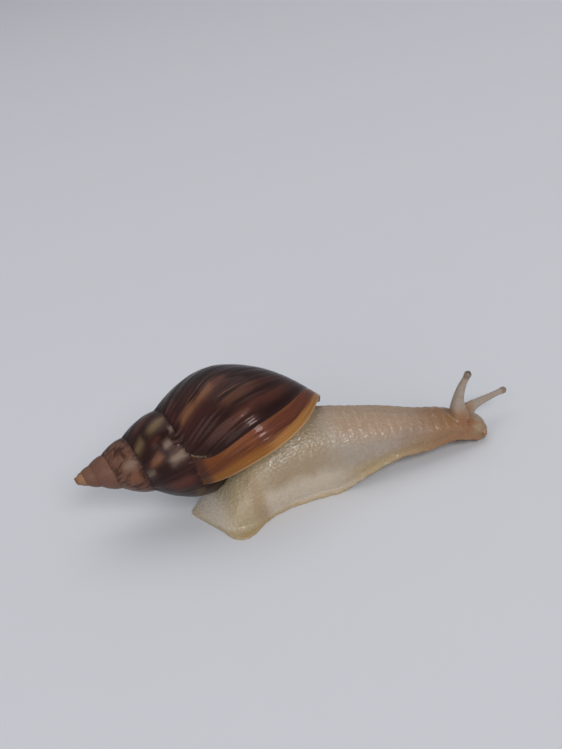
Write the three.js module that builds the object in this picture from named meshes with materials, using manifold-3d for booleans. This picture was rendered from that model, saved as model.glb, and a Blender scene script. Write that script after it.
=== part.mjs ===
// Giant African land snail (Lissachatina fulica), a young one crawling with its neck stretched out.
//
// Frame: millimetres, +Z up. +X is the way the snail faces, -Y is its right side.
// The origin is on the floor, under the middle of the sole.
//
// The shell is a right-handed logarithmic spiral round an axis that lies almost level. The flesh is
// one body lofted through named stations from tail to snout, hollowed where the shell sits on it and
// parted by thin cuts into foot, trunk, neck and head.

import * as THREE from 'three';
import { mergeVertices } from 'three/addons/utils/BufferGeometryUtils.js';
import Module from 'manifold-3d';

const wasm = await Module();
wasm.setup();

// ---------------------------------------------------------------- driving dimensions, in mm

const GAP = 0.3; // left between any two neighbouring pieces
const SHELL_LENGTH = 61.0; // apex to the base of the lip, along the shell's axis
const GROWTH = 1.603; // how much each whorl is larger than the one before
const WHORLS = 6.2;

// The shell's measures, each as a share of the whorl's own size. That size is the distance along the
// axis from the centre of the spiral to the suture.
const SUTURE_RADIUS = 0.412;
const WIDEST_RADIUS = SUTURE_RADIUS * GROWTH; // the next whorl is joined on along the widest line
const WIDEST_HEIGHT = GROWTH;
const BASE_HEIGHT = 2.38;
const SHOULDER_POWER = 1.9; // how squarely a whorl swells below its suture
const BASE_POWER = 1.6; // how full the last whorl stays towards its base
const BASE_ROUNDING = 0.48; // how bluntly it closes there

const LIP_AZIMUTH = THREE.MathUtils.degToRad(118.3); // where the lip leaves the suture
const SUTURE_SWEEP = THREE.MathUtils.degToRad(34.6); // how far the lip runs back just below the suture
const SUTURE_CURVE = 4; // how early it does so
const BASE_SWEEP = THREE.MathUtils.degToRad(43.4); // and how far it curls back at the base
const BASE_CURVE = 5; // how late it does so
const LIP_RAMP = THREE.MathUtils.degToRad(170); // stretch of the last whorl that takes up the sweep

const APEX_BULGE = 0.5; // how far the blunt apex stands out beyond its first turn
const SPIRAL_CENTRE = 2.6; // behind the blunt apex, where the endless spiral would vanish
const FULL_TURN = 2 * Math.PI;
// Size of the last whorl where its lip leaves the suture.
const LAST_SIZE =
  ((SHELL_LENGTH + SPIRAL_CENTRE) / BASE_HEIGHT) * GROWTH ** ((SUTURE_SWEEP + BASE_SWEEP) / FULL_TURN);
const APEX = new THREE.Vector3(-42.7, 3.7, 18.4);
const SHELL_YAW = THREE.MathUtils.degToRad(2.6);
const SHELL_PITCH = THREE.MathUtils.degToRad(0.3);

// The body from tail to snout. near and far are where the edge of the foot lies on the right and on
// the left, lift is the height of the sole, top the height of the back and girth the half width of
// the flesh above the foot's edge.
const STATIONS = {
  tailTip: { x: -18.8, near: 3.6, far: 7.4, lift: 0, top: 1.0, girth: 1.8 },
  tailEnd: { x: -16.8, near: -1.8, far: 10.4, lift: 0, top: 3.2, girth: 5.4 },
  tailBack: { x: -14.2, near: -7.6, far: 11.8, lift: 0, top: 5.9, girth: 8.4 },
  flap: { x: -11.2, near: -13.5, far: 12.4, lift: 0, top: 8.5, girth: 10.4 },
  flapFront: { x: -7.2, near: -13.2, far: 12.2, lift: 0, top: 13.0, girth: 11.0 },
  heel: { x: -2.0, near: -8.8, far: 10.6, lift: 0, top: 18.0, girth: 10.8 },
  trunk: { x: 5.0, near: -6.7, far: 9.2, lift: 0, top: 20.6, girth: 10.4 },
  neckBase: { x: 16.5, near: -7.0, far: 8.0, lift: 0, top: 19.9, girth: 8.8 },
  neckRear: { x: 23.5, near: -7.2, far: 7.5, lift: 2.3, top: 18.0, girth: 8.0 },
  neckMiddle: { x: 32.0, near: -6.7, far: 6.9, lift: 4.1, top: 15.3, girth: 7.1 },
  neckFront: { x: 41.0, near: -6.2, far: 6.3, lift: 3.5, top: 11.8, girth: 6.3 },
  headBack: { x: 47.0, near: -5.5, far: 5.6, lift: 3.8, top: 10.0, girth: 5.7 },
  brow: { x: 52.0, near: -4.8, far: 4.8, lift: 2.2, top: 7.6, girth: 5.0 },
  snout: { x: 55.6, near: -3.5, far: 3.5, lift: 0.9, top: 6.0, girth: 3.9 },
  snoutTip: { x: 57.5, near: -1.3, far: 1.3, lift: 1.0, top: 3.6, girth: 1.5 },
};

const EDGE_HEIGHT = 1.1; // height over which the foot's thin edge dies away into the side
const EDGE_LEVELS = [0, 0.5, 1.6]; // where sections have corners on that edge, as shares of its height
const THIN_LEVELS = [0, 0.25, 0.8]; // and where the body is thin, as shares of its own height
const SIDE_WAIST = 0.84; // width of the flesh just above that edge, as a share of the sole's
const WIDEST_LEVEL = 0.55; // share of its height at which the flesh is widest
const FOOT_HEIGHT = 4.2; // the muscular foot below, the trunk, neck and head above
const FOOT_RISE = 1.0; // how much higher that parting lies in each length further forward

const CUTS = { tail: -9, shellFront: 15, neck: 28, head: 44, snout: 53 }; // cuts across the body

// The mouth of the shell is a thin lip round a recess, which the collar of mantle fills. Depths along
// the spiral are angles.
const LIP_THICKNESS = 0.8;
const RECESS_DEPTH = THREE.MathUtils.degToRad(14);
const MOUTH_AHEAD = THREE.MathUtils.degToRad(35); // how far past the lip's line the mouth lies open
const MANTLE_ROOT = THREE.MathUtils.degToRad(11); // how far behind the lip the mantle starts
const MANTLE_SET = THREE.MathUtils.degToRad(3); // how far behind the lip the mantle's rim ends
const MANTLE_RIM = 2.5; // width of that rim, inside which the mantle swells out to the body
const MANTLE_SWELL = THREE.MathUtils.degToRad(9); // how far past the lip it swells
const MANTLE_REACH = THREE.MathUtils.degToRad(15); // how far the collar runs down the body, past the lip
const LEAD_GAP = 0.03; // the gap below the shell's mouth
const AXIS_CORE = 0.05; // radius at which a block in the mouth ends round the axis

const EYE_RADIUS = 0.8;
const TENTACLES = {
  eye_tentacle_right: {
    path: [[50.2, -1.9, 7.4], [50.1, -2.5, 12.0], [51.1, -3.6, 16.4], [52.9, -4.8, 20.3]],
    rootRadius: 2.4,
    tipRadius: 0.95,
    eye: 'eye_right',
  },
  eye_tentacle_left: {
    path: [[51.6, 1.4, 6.4], [55.9, 2.6, 7.4], [60.8, 4.4, 7.3], [66.1, 6.4, 6.9]],
    rootRadius: 2.0,
    tipRadius: 0.75,
    eye: 'eye_left',
  },
  lower_tentacle_right: {
    path: [[54.4, -2.4, 3.2], [55.2, -3.2, 3.1], [56.0, -4.0, 2.9]],
    rootRadius: 0.9,
    tipRadius: 0.6,
  },
  lower_tentacle_left: {
    path: [[54.4, 2.4, 3.2], [55.2, 3.2, 3.1], [56.0, 4.0, 2.9]],
    rootRadius: 0.9,
    tipRadius: 0.6,
  },
};

// ---------------------------------------------------------------- fineness of the meshes

const STEPS_PER_TURN = 33;
const SHOULDER_STEPS = 4;
const BASE_STEPS = 8;
const BODY_STEP = 2.6; // distance between the body's sections
const SIDE_LEVELS = 9;
const TENTACLE_SIDES = 10;
const TENTACLE_STEPS = 8;
const MOUTH_STEP = THREE.MathUtils.degToRad(7.5); // longest step of a block in the mouth

// ---------------------------------------------------------------- materials

const finish = (color, roughness) => new THREE.MeshStandardMaterial({ color, roughness, metalness: 0 });
const SHELL_MATERIAL = () => finish(0x3a2018, 0.25);
const SKIN_MATERIAL = () => finish(0xa89474, 0.4);
const HEAD_MATERIAL = () => finish(0x96704c, 0.4);
const EYE_MATERIAL = () => finish(0x33241c, 0.2);

// ---------------------------------------------------------------- between geometry and solids

// A closed triangle mesh from a list of points and a list of index triples.
function meshOf(points, triangles) {
  const geometry = new THREE.BufferGeometry();
  geometry.setAttribute('position', new THREE.Float32BufferAttribute(points.flat(), 3));
  geometry.setIndex(triangles.flat());
  return geometry;
}

// A manifold solid from a three.js geometry, with its shared corners merged.
function solidOf(geometry) {
  const bare = geometry.clone();
  bare.deleteAttribute('normal');
  bare.deleteAttribute('uv');
  const merged = mergeVertices(bare, 1e-4);
  const vertProperties = new Float32Array(merged.attributes.position.array);
  const triVerts = new Uint32Array(merged.index.array);
  return new wasm.Manifold(new wasm.Mesh({ numProp: 3, vertProperties, triVerts }));
}

// A three.js geometry from the largest body of a manifold solid.
function geometryOf(solid) {
  const bodies = solid.decompose().sort((a, b) => b.volume() - a.volume());
  const { vertProperties, triVerts } = bodies[0].getMesh();
  const geometry = new THREE.BufferGeometry();
  geometry.setAttribute('position', new THREE.Float32BufferAttribute(vertProperties, 3));
  geometry.setIndex(new THREE.Uint32BufferAttribute(triVerts, 1));
  geometry.computeVertexNormals();
  return geometry;
}

// A box solid between two corners.
function block([x0, y0, z0], [x1, y1, z1]) {
  const box = new THREE.BoxGeometry(x1 - x0, y1 - y0, z1 - z0);
  box.translate((x0 + x1) / 2, (y0 + y1) / 2, (z0 + z1) / 2);
  return solidOf(box);
}

// ---------------------------------------------------------------- the shell

// Radius and height of a whorl's outer wall, as shares of its size: s runs from 0 at the suture to
// 1 at the widest line and on to 2 at the base of the shell, on the axis.
function whorlWall(s) {
  if (s <= 1) {
    const swelling = 1 - (1 - s) ** SHOULDER_POWER;
    return [
      SUTURE_RADIUS + (WIDEST_RADIUS - SUTURE_RADIUS) * swelling,
      1 + (WIDEST_HEIGHT - 1) * s,
    ];
  }
  const below = s - 1;
  return [
    WIDEST_RADIUS * (1 - below ** BASE_POWER) ** BASE_ROUNDING,
    WIDEST_HEIGHT + (BASE_HEIGHT - WIDEST_HEIGHT) * below,
  ];
}

// How far the growth line through the suture has run back at s, in radians.
function growthLean(s) {
  const [, height] = whorlWall(s);
  const t = (height - 1) / (BASE_HEIGHT - 1);
  return -SUTURE_SWEEP * (1 - (1 - t) ** SUTURE_CURVE) - BASE_SWEEP * t ** BASE_CURVE;
}

// Size of the whorl at an angle past the lip's end of the suture; backwards is negative.
function sizeAt(turn) {
  return LAST_SIZE * GROWTH ** (turn / FULL_TURN);
}

// Where the wall of the shell lies at an angle and a place s, in the spiral's own frame.
function wallPoint(led, s, margin) {
  const [radiusShare, heightShare] = whorlWall(s);
  const radius = Math.max(sizeAt(led) * radiusShare + margin, margin < 0 ? AXIS_CORE : 0);
  const along = sizeAt(led) * heightShare - SPIRAL_CENTRE + margin * (s - 1);
  const azimuth = LIP_AZIMUTH + led;
  return [along, -radius * Math.sin(azimuth), radius * Math.cos(azimuth)];
}

// A solid from points in the spiral's own frame, turned and moved to where the shell is.
function setOnSnail(points, triangles) {
  const geometry = meshOf(points, triangles);
  geometry.rotateY(-SHELL_PITCH);
  geometry.rotateZ(SHELL_YAW);
  geometry.translate(...APEX);
  return solidOf(geometry);
}

const SHOULDER = Array.from({ length: SHOULDER_STEPS + 1 }, (_, k) => k / SHOULDER_STEPS);
const BASE = Array.from({ length: BASE_STEPS + 1 }, (_, k) => 1 + Math.sin((k / BASE_STEPS) * (Math.PI / 2)));

// The shell as one closed solid, filled to its mouth. margin fattens it and lead carries its lip on.
function shellSolid(margin = 0, lead = 0) {
  const rows = Math.round(WHORLS * STEPS_PER_TURN);
  const step = FULL_TURN / STEPS_PER_TURN;
  const points = [];
  const shape = []; // the same points along the axis and from it, without margin and lead
  const placed = new Map();

  // The number of the point at row i of the spiral and place s on the wall.
  const at = (i, s) => {
    const key = s === 1 && i + STEPS_PER_TURN <= rows ? `${i + STEPS_PER_TURN}:0` : `${i}:${s}`;
    if (placed.has(key)) {
      return placed.get(key);
    }
    const past = (i - rows) * step;
    const ramp = THREE.MathUtils.smoothstep(past, -LIP_RAMP, 0);
    const turn = past + ramp * growthLean(s);
    const [radiusShare, heightShare] = whorlWall(s);
    points.push(wallPoint(turn + ramp * lead, s, margin));
    shape.push(new THREE.Vector2(sizeAt(turn) * heightShare, sizeAt(turn) * radiusShare));
    placed.set(key, points.length - 1);
    return points.length - 1;
  };

  const triangles = [];
  const quad = (a, b, c, d) => triangles.push([a, c, b], [a, d, c]);
  for (let i = 0; i < rows; i += 1) {
    const open = i >= rows - STEPS_PER_TURN;
    const places = open ? [...SHOULDER, ...BASE.slice(1)] : SHOULDER;
    for (let k = 0; k + 1 < places.length; k += 1) {
      quad(at(i, places[k]), at(i, places[k + 1]), at(i + 1, places[k + 1]), at(i + 1, places[k]));
    }
  }

  // The mouth: between the lip, the wall one turn back and the ends of the turns between them.
  const lip = [...SHOULDER, ...BASE.slice(1)].map((s) => at(rows, s));
  const ends = [];
  for (let i = rows - 1; i > rows - STEPS_PER_TURN; i -= 1) {
    ends.push(at(i, 2));
  }
  const inner = BASE.map((s) => at(rows - STEPS_PER_TURN, s)).reverse().slice(0, -1);
  const mouth = [...lip, ...ends, ...inner];
  for (const [a, b, c] of THREE.ShapeUtils.triangulateShape(mouth.map((n) => shape[n]), [])) {
    triangles.push([mouth[a], mouth[b], mouth[c]]);
  }

  // The blunt apex: a fan over the first turn.
  const tip = points.length;
  const rim = Array.from({ length: STEPS_PER_TURN + 1 }, (_, i) => at(i, 0));
  const first = SHOULDER.map((s) => at(0, s));
  const middle = rim.reduce((sum, n) => sum + points[n][0], 0) / rim.length;
  points.push([middle - APEX_BULGE, 0, 0]);
  const outline = [...rim, ...first.slice(1, -1).reverse()];
  outline.forEach((n, k) => triangles.push([tip, outline[(k + 1) % outline.length], n]));

  return setOnSnail(points, triangles);
}

// A block that fills the mouth inside the lip, from the outer wall to the axis, between two angles
// measured from the lip. inset keeps it that far inside the wall. Each of its ends is ruled between
// the wall and the axis.
function mouthBlock(inset, from, to) {
  const wall = [...SHOULDER, ...BASE.slice(1)];
  const last = wall.length - 1;
  const size = 2 * wall.length;
  const steps = Math.ceil((to - from) / MOUTH_STEP);
  const points = [];
  const triangles = [];
  const quad = (a, b, c, d) => triangles.push([a, b, c], [a, c, d]);
  for (let i = 0; i <= steps; i += 1) {
    const lead = from + ((to - from) * i) / steps;
    const rim = wall.map((s) => wallPoint(growthLean(s) + lead, s, -inset));
    const core = rim.map(([along, y, z]) => {
      const shrink = AXIS_CORE / 2 / Math.hypot(y, z);
      return [along, y * shrink, z * shrink];
    });
    points.push(...rim, ...core.reverse());
    for (let k = 0; k < size && i > 0; k += 1) {
      const m = (k + 1) % size;
      quad((i - 1) * size + k, i * size + k, i * size + m, (i - 1) * size + m);
    }
  }
  const front = steps * size;
  for (let k = 0; k < last; k += 1) {
    const across = size - 1 - k;
    quad(k, k + 1, across - 1, across);
    quad(front + k, front + across, front + across - 1, front + k + 1);
  }
  return setOnSnail(points, triangles);
}

// ---------------------------------------------------------------- the flesh

// A station's measures at any x, by cubic curves through the named stations.
function measuresAt(x) {
  const list = Object.values(STATIONS);
  const last = list.length - 1;
  const i = Math.min(Math.max(list.findIndex((station) => station.x > x) - 1, 0), last - 1);
  const k = x >= list[last].x ? last - 1 : i;
  const [a, b] = [list[k], list[k + 1]];
  const [before, after] = [list[Math.max(k - 1, 0)], list[Math.min(k + 2, last)]];
  const t = (x - a.x) / (b.x - a.x);
  const curve = (name) => {
    const slopeA = ((b[name] - before[name]) / (b.x - before.x)) * (b.x - a.x);
    const slopeB = ((after[name] - a[name]) / (after.x - a.x)) * (b.x - a.x);
    return (
      a[name] * (1 + 2 * t) * (1 - t) ** 2 +
      slopeA * t * (1 - t) ** 2 +
      b[name] * (3 - 2 * t) * t ** 2 +
      slopeB * (t - 1) * t ** 2
    );
  };
  const lift = a.lift === 0 && b.lift === 0 ? 0 : Math.max(curve('lift'), 0);
  return { near: curve('near'), far: curve('far'), lift, top: curve('top'), girth: curve('girth') };
}

// Half widths of one section from the sole up to the back, as [distance from the middle, height].
function halfSection({ near, far, lift, top, girth }) {
  const sole = (far - near) / 2;
  const height = top - lift;
  const waist = Math.min(sole, girth) * SIDE_WAIST;
  const levels = EDGE_LEVELS.map((share, n) => Math.min((share * EDGE_HEIGHT) / height, THIN_LEVELS[n]));
  for (let k = 1; k <= SIDE_LEVELS; k += 1) {
    levels.push(levels[2] + (1 - levels[2]) * Math.sin((k / SIDE_LEVELS) * (Math.PI / 2)));
  }
  return levels.map((level) => {
    const up = level > WIDEST_LEVEL
      ? girth * Math.sqrt(Math.max(1 - ((level - WIDEST_LEVEL) / (1 - WIDEST_LEVEL)) ** 2, 0))
      : waist + (girth - waist) * (1 - (1 - level / WIDEST_LEVEL) ** 2);
    const climb = (level * height) / EDGE_HEIGHT;
    const edge = (sole - waist) * Math.exp(-climb * climb);
    return [up + edge, lift + level * height];
  });
}

// The whole body as one loft of sections across the X axis, closed by a flat cap at each end.
function bodySolid() {
  const list = Object.values(STATIONS);
  const [start, end] = [list[0].x, list[list.length - 1].x];
  const count = Math.round((end - start) / BODY_STEP);
  const points = [];
  const rings = [];
  for (let n = 0; n <= count; n += 1) {
    const x = start + ((end - start) * n) / count;
    const measures = measuresAt(x);
    const middle = (measures.near + measures.far) / 2;
    const half = halfSection(measures);
    const right = half.map(([y, z]) => [x, middle - y, z]);
    const left = half.slice(0, -1).reverse().map(([y, z]) => [x, middle + y, z]);
    const ring = [...right, ...left].map((point) => points.push(point) - 1);
    rings.push(ring);
  }
  const triangles = [];
  const size = rings[0].length;
  for (let n = 0; n < count; n += 1) {
    for (let k = 0; k < size; k += 1) {
      const m = (k + 1) % size;
      const [a, b, c, d] = [rings[n][k], rings[n][m], rings[n + 1][m], rings[n + 1][k]];
      triangles.push([a, c, b], [a, d, c]);
    }
  }
  const cap = (ring, turned) => {
    const flat = ring.map((n) => new THREE.Vector2(points[n][1], points[n][2]));
    for (const [a, b, c] of THREE.ShapeUtils.triangulateShape(flat, [])) {
      triangles.push(turned ? [ring[a], ring[b], ring[c]] : [ring[a], ring[c], ring[b]]);
    }
  };
  cap(rings[0], false);
  cap(rings[count], true);
  return solidOf(meshOf(points, triangles));
}

// ---------------------------------------------------------------- tentacles and eyes

const curveThrough = (path) => new THREE.CatmullRomCurve3(path.map((point) => new THREE.Vector3(...point)));

// A round stalk along a curve, from the share of its length `from` to the share `to`.
function stalk({ path, rootRadius, tipRadius }, from, to, fattened = 0) {
  const curve = curveThrough(path);
  const points = [];
  const triangles = [];
  for (let i = 0; i <= TENTACLE_STEPS; i += 1) {
    const share = from + ((to - from) * i) / TENTACLE_STEPS;
    const centre = curve.getPointAt(share);
    const along = curve.getTangentAt(share);
    const side = new THREE.Vector3(0, 1, 0).cross(along).normalize();
    const across = new THREE.Vector3().crossVectors(along, side);
    const radius = tipRadius + (rootRadius - tipRadius) * (1 - share) ** 2 + fattened;
    for (let k = 0; k < TENTACLE_SIDES; k += 1) {
      const angle = (k / TENTACLE_SIDES) * FULL_TURN;
      const point = centre.clone();
      point.addScaledVector(side, radius * Math.cos(angle));
      point.addScaledVector(across, radius * Math.sin(angle));
      points.push(point.toArray());
    }
  }
  const ends = [from, to].map((share) => points.push(curve.getPointAt(share).toArray()) - 1);
  for (let k = 0; k < TENTACLE_SIDES; k += 1) {
    const m = (k + 1) % TENTACLE_SIDES;
    for (let i = 0; i < TENTACLE_STEPS; i += 1) {
      const [a, b] = [i * TENTACLE_SIDES + k, i * TENTACLE_SIDES + m];
      triangles.push([a, b, b + TENTACLE_SIDES], [a, b + TENTACLE_SIDES, a + TENTACLE_SIDES]);
    }
    const top = TENTACLE_STEPS * TENTACLE_SIDES;
    triangles.push([ends[0], m, k], [ends[1], top + k, top + m]);
  }
  return solidOf(meshOf(points, triangles));
}

function eyeSolid({ path }, margin = 0) {
  const ball = new THREE.SphereGeometry(EYE_RADIUS + margin, TENTACLE_SIDES, TENTACLE_SIDES / 2 + 1);
  ball.rotateX(Math.PI / 2);
  ball.translate(...path[path.length - 1]);
  return solidOf(ball);
}

// ---------------------------------------------------------------- joining and parting

const snail = new THREE.Group();

function add(name, solid, material) {
  const mesh = new THREE.Mesh(geometryOf(solid), material);
  mesh.name = name;
  snail.add(mesh);
}

const filledShell = shellSolid();
const sunk = (solid) => solid.add(solid.translate([0, 0, -GAP])); // with room below its mouth
const shellRoom = shellSolid(GAP, LEAD_GAP).add(sunk(filledShell));
const collarRoom = shellSolid(GAP, MANTLE_REACH).add(shellRoom);
const collarBed = shellSolid(2 * GAP, MANTLE_REACH + LEAD_GAP).add(sunk(collarRoom));
const recessBed = shellSolid(0, -RECESS_DEPTH);
const recess = mouthBlock(LIP_THICKNESS, -RECESS_DEPTH, MOUTH_AHEAD).subtract(recessBed);
const deepShell = shellSolid(GAP, LEAD_GAP - RECESS_DEPTH).add(sunk(recessBed));
const insideLip = mouthBlock(LIP_THICKNESS + GAP, -MANTLE_ROOT, MOUTH_AHEAD).subtract(deepShell);
const mantle = mouthBlock(LIP_THICKNESS + GAP, -MANTLE_ROOT, -MANTLE_SET)
  .add(mouthBlock(LIP_THICKNESS + GAP + MANTLE_RIM, -MANTLE_ROOT, MANTLE_SWELL))
  .subtract(deepShell);

const shell = filledShell.subtract(recess);
const body = bodySolid();
const collar = mantle.add(body.intersect(collarRoom)).subtract(shellRoom.subtract(insideLip));
add('shell', shell, SHELL_MATERIAL());
add('mantle_collar', collar, SKIN_MATERIAL());

let flesh = body.subtract(collarBed).subtract(sunk(mantle));
for (const tentacle of Object.values(TENTACLES)) {
  flesh = flesh.subtract(stalk(tentacle, 0, 1, GAP));
}

// Each length of the body: its name, where it starts and ends along X, and its bottom and top.
const FAR = 100; // beyond the snail in every direction
const LENGTHS = [
  ['tail', -FAR, CUTS.tail, -FAR, FAR],
  ['foot_rear', CUTS.tail, CUTS.shellFront, -FAR, FOOT_HEIGHT],
  ['trunk', CUTS.tail, CUTS.shellFront, FOOT_HEIGHT, FAR],
  ['foot_middle', CUTS.shellFront, CUTS.neck, -FAR, FOOT_HEIGHT + FOOT_RISE],
  ['neck_rear', CUTS.shellFront, CUTS.neck, FOOT_HEIGHT + FOOT_RISE, FAR],
  ['foot_front', CUTS.neck, CUTS.head, -FAR, FOOT_HEIGHT + 2 * FOOT_RISE],
  ['neck_front', CUTS.neck, CUTS.head, FOOT_HEIGHT + 2 * FOOT_RISE, FAR],
  ['head', CUTS.head, CUTS.snout, -FAR, FAR],
  ['snout', CUTS.snout, FAR, -FAR, FAR],
];
for (const [name, from, to, bottom, top] of LENGTHS) {
  const low = [from + GAP / 2, -FAR, bottom + GAP / 2];
  const high = [to - GAP / 2, FAR, top - GAP / 2];
  add(name, flesh.intersect(block(low, high)), from < CUTS.head ? SKIN_MATERIAL() : HEAD_MATERIAL());
}

for (const [name, tentacle] of Object.entries(TENTACLES)) {
  if (tentacle.eye) {
    const room = eyeSolid(tentacle, GAP);
    const slit = GAP / curveThrough(tentacle.path).getLength();
    add(`${name}_root`, stalk(tentacle, 0, (1 - slit) / 2), SKIN_MATERIAL());
    add(`${name}_end`, stalk(tentacle, (1 + slit) / 2, 1).subtract(room), SKIN_MATERIAL());
    add(tentacle.eye, eyeSolid(tentacle), EYE_MATERIAL());
  } else {
    add(name, stalk(tentacle, 0, 1), HEAD_MATERIAL());
  }
}

export default snail;
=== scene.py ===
"""A young giant African land snail crawling over a pale floor, in metres, +X ahead, +Z up."""

import bpy
import numpy as np
from mathutils import Matrix, Vector


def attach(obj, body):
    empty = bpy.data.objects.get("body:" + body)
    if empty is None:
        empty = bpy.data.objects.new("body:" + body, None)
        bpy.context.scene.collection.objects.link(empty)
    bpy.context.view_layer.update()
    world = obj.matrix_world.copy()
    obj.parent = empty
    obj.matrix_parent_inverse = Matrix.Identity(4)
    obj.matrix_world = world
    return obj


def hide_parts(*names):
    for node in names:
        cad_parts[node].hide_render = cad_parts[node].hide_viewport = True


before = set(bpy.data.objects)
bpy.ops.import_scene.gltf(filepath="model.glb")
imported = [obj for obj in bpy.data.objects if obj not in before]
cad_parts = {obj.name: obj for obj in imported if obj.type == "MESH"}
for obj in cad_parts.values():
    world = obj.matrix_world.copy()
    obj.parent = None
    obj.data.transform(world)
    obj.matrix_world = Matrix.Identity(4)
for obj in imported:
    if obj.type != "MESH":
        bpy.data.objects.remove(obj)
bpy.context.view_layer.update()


# ---------------------------------------------------------------- the viewing place
# A hand-held camera a forearm's length away looks down on the snail's right side, a little from
# behind. It is tipped clockwise, so that the crawling snail climbs towards the right of the view.

MM = 0.001
LOOK_AT = np.array([10.6, 8.3, 27.8]) * MM
VIEW_DISTANCE = 260 * MM
VIEW_DOWN = np.radians(25.0)
VIEW_FROM_BEHIND = np.radians(10.0)
VIEW_TIP = np.radians(12.0)
LENS, FILM = 51.73, 36.0

ahead = Vector((
    np.sin(VIEW_FROM_BEHIND) * np.cos(VIEW_DOWN),
    np.cos(VIEW_FROM_BEHIND) * np.cos(VIEW_DOWN),
    -np.sin(VIEW_DOWN),
))
level_right = ahead.cross(Vector((0, 0, 1))).normalized()
right = Matrix.Rotation(VIEW_TIP, 3, ahead) @ level_right
upright = right.cross(ahead)

camera_data = bpy.data.cameras.new("camera")
camera_data.lens, camera_data.sensor_width = LENS, FILM
camera_data.clip_start = 0.01
camera = bpy.data.objects.new("camera", camera_data)
bpy.context.scene.collection.objects.link(camera)
eye_place = Vector(LOOK_AT) - ahead * VIEW_DISTANCE
turned = Matrix((right, upright, -ahead)).transposed().to_4x4()
camera.matrix_world = Matrix.Translation(eye_place) @ turned
bpy.context.scene.camera = camera


# ---------------------------------------------------------------- the shell
# A long cone of whorls coiled to the right and laid down at the lip a thread at a time: a chalky
# wall under a thin glossy brown skin, whose growth lines, dark flames and rest lines all run parallel
# to the lip. The last sixteenth of a turn is this season's growth, thin and amber.

TURN = 2 * np.pi
GROWTH = 1.603  # each whorl is this much larger than the one before
WHORLS = 5.3
SUTURE_RADIUS = 0.412  # radii and heights are shares of the whorl's size at that place
BASE_HEIGHT = 2.38
SHOULDER_POWER, BASE_POWER, BASE_ROUNDING = 1.9, 1.6, 0.48
LIP_AZIMUTH = np.radians(118.3)
SUTURE_SWEEP = np.radians(34.6)
BASE_SWEEP = np.radians(43.4)
LIP_RAMP = np.radians(170)
SHELL_LENGTH, SPIRAL_CENTRE = 61.0, 2.6  # the spiral closes in to a point that far behind the apex
LAST_SIZE = (SHELL_LENGTH + SPIRAL_CENTRE) / BASE_HEIGHT * GROWTH ** ((SUTURE_SWEEP + BASE_SWEEP) / TURN)
APEX = np.array([-42.7, 3.7, 18.4])
SHELL_YAW, SHELL_PITCH = np.radians(2.6), np.radians(0.3)
SHELL_TURN = np.array(Matrix.Rotation(SHELL_YAW, 3, "Z") @ Matrix.Rotation(-SHELL_PITCH, 3, "Y")).T

REST_LINE = -21.5  # degrees back from the lip where growth stopped for a season
REST_SWEEP, REST_REACH = 24.0, 0.136  # how far that line runs back into the suture, and over how much wall
REST_STEP = 0.20  # mm that the new growth starts below the old
LIP_THICKNESS = 0.6
MOUTH_DEPTH = np.radians(25)  # how far the inside of the mouth is modelled


def whorl_wall(s):
    """Radius and height of a whorl's wall, as shares of its size. From s = 0 at the suture it swells
    as one minus a power to s = 1, the widest line, then closes in to the axis at s = 2."""
    above, below = np.clip(s, 0, 1), np.clip(s - 1, 0, 1)
    swelling = SUTURE_RADIUS * (1 + (GROWTH - 1) * (1 - (1 - above) ** SHOULDER_POWER))
    closing = SUTURE_RADIUS * GROWTH * (1 - below ** BASE_POWER) ** BASE_ROUNDING
    height = 1 + (GROWTH - 1) * above + (BASE_HEIGHT - GROWTH) * below
    return np.where(s <= 1, swelling, closing), height


def growth_lean(s):
    """Angle by which a growth line has run back at s from where it leaves the suture."""
    t = (whorl_wall(s)[1] - 1) / (BASE_HEIGHT - 1)
    return -SUTURE_SWEEP * (1 - (1 - t) ** 4) - BASE_SWEEP * t ** 5


def on_shell(turn, s, depth):
    """Place of a point of the shell: the wall's share times a size that grows as GROWTH to the power
    of the turns made, swung round the axis by the turn and sunk inwards by depth: towards the axis,
    and along it by depth times s - 1."""
    radius, height = whorl_wall(s)
    size = LAST_SIZE * GROWTH ** (turn / TURN)
    out = np.maximum(size * radius - depth, 0)
    along = size * height - SPIRAL_CENTRE - depth * (s - 1)
    azimuth = LIP_AZIMUTH + turn
    spiral = np.stack([along, -out * np.sin(azimuth), out * np.cos(azimuth)], -1)
    return spiral @ SHELL_TURN + APEX


def relief(time, s):
    """How far growth has sunk the wall, in mm, at a growth time in radians: uneven waves parallel to
    the lip, a step and a groove at the rest line, sharper ridges after it, and a crinkled suture."""
    after_rest = np.degrees(time) - REST_LINE + REST_SWEEP * np.exp(-s / REST_REACH)
    fresh = (1 + np.tanh(after_rest * 0.8)) / 2
    ripple = 0.05 * np.sin(time * 29 + 1.3 * np.sin(time * 11)) + 0.03 * np.sin(time * 67 + s * 2)
    ridges = 0.045 * np.sin(time * 90 + 2 * np.sin(s * 3)) * (0.3 + 0.7 * fresh)
    groove = 0.16 * np.exp(-((after_rest / 1.3) ** 2)) + REST_STEP * fresh * np.clip(1.9 - s, 0, 1)
    crinkle = 0.10 * np.exp(-((s / 0.10) ** 2)) * np.sin(time * 46)
    return ((ripple + ridges) * np.clip(2 - s, 0, 1) + crinkle) * GROWTH ** (time / TURN) + groove


WELD_GAP = 0.002 * MM


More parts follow.
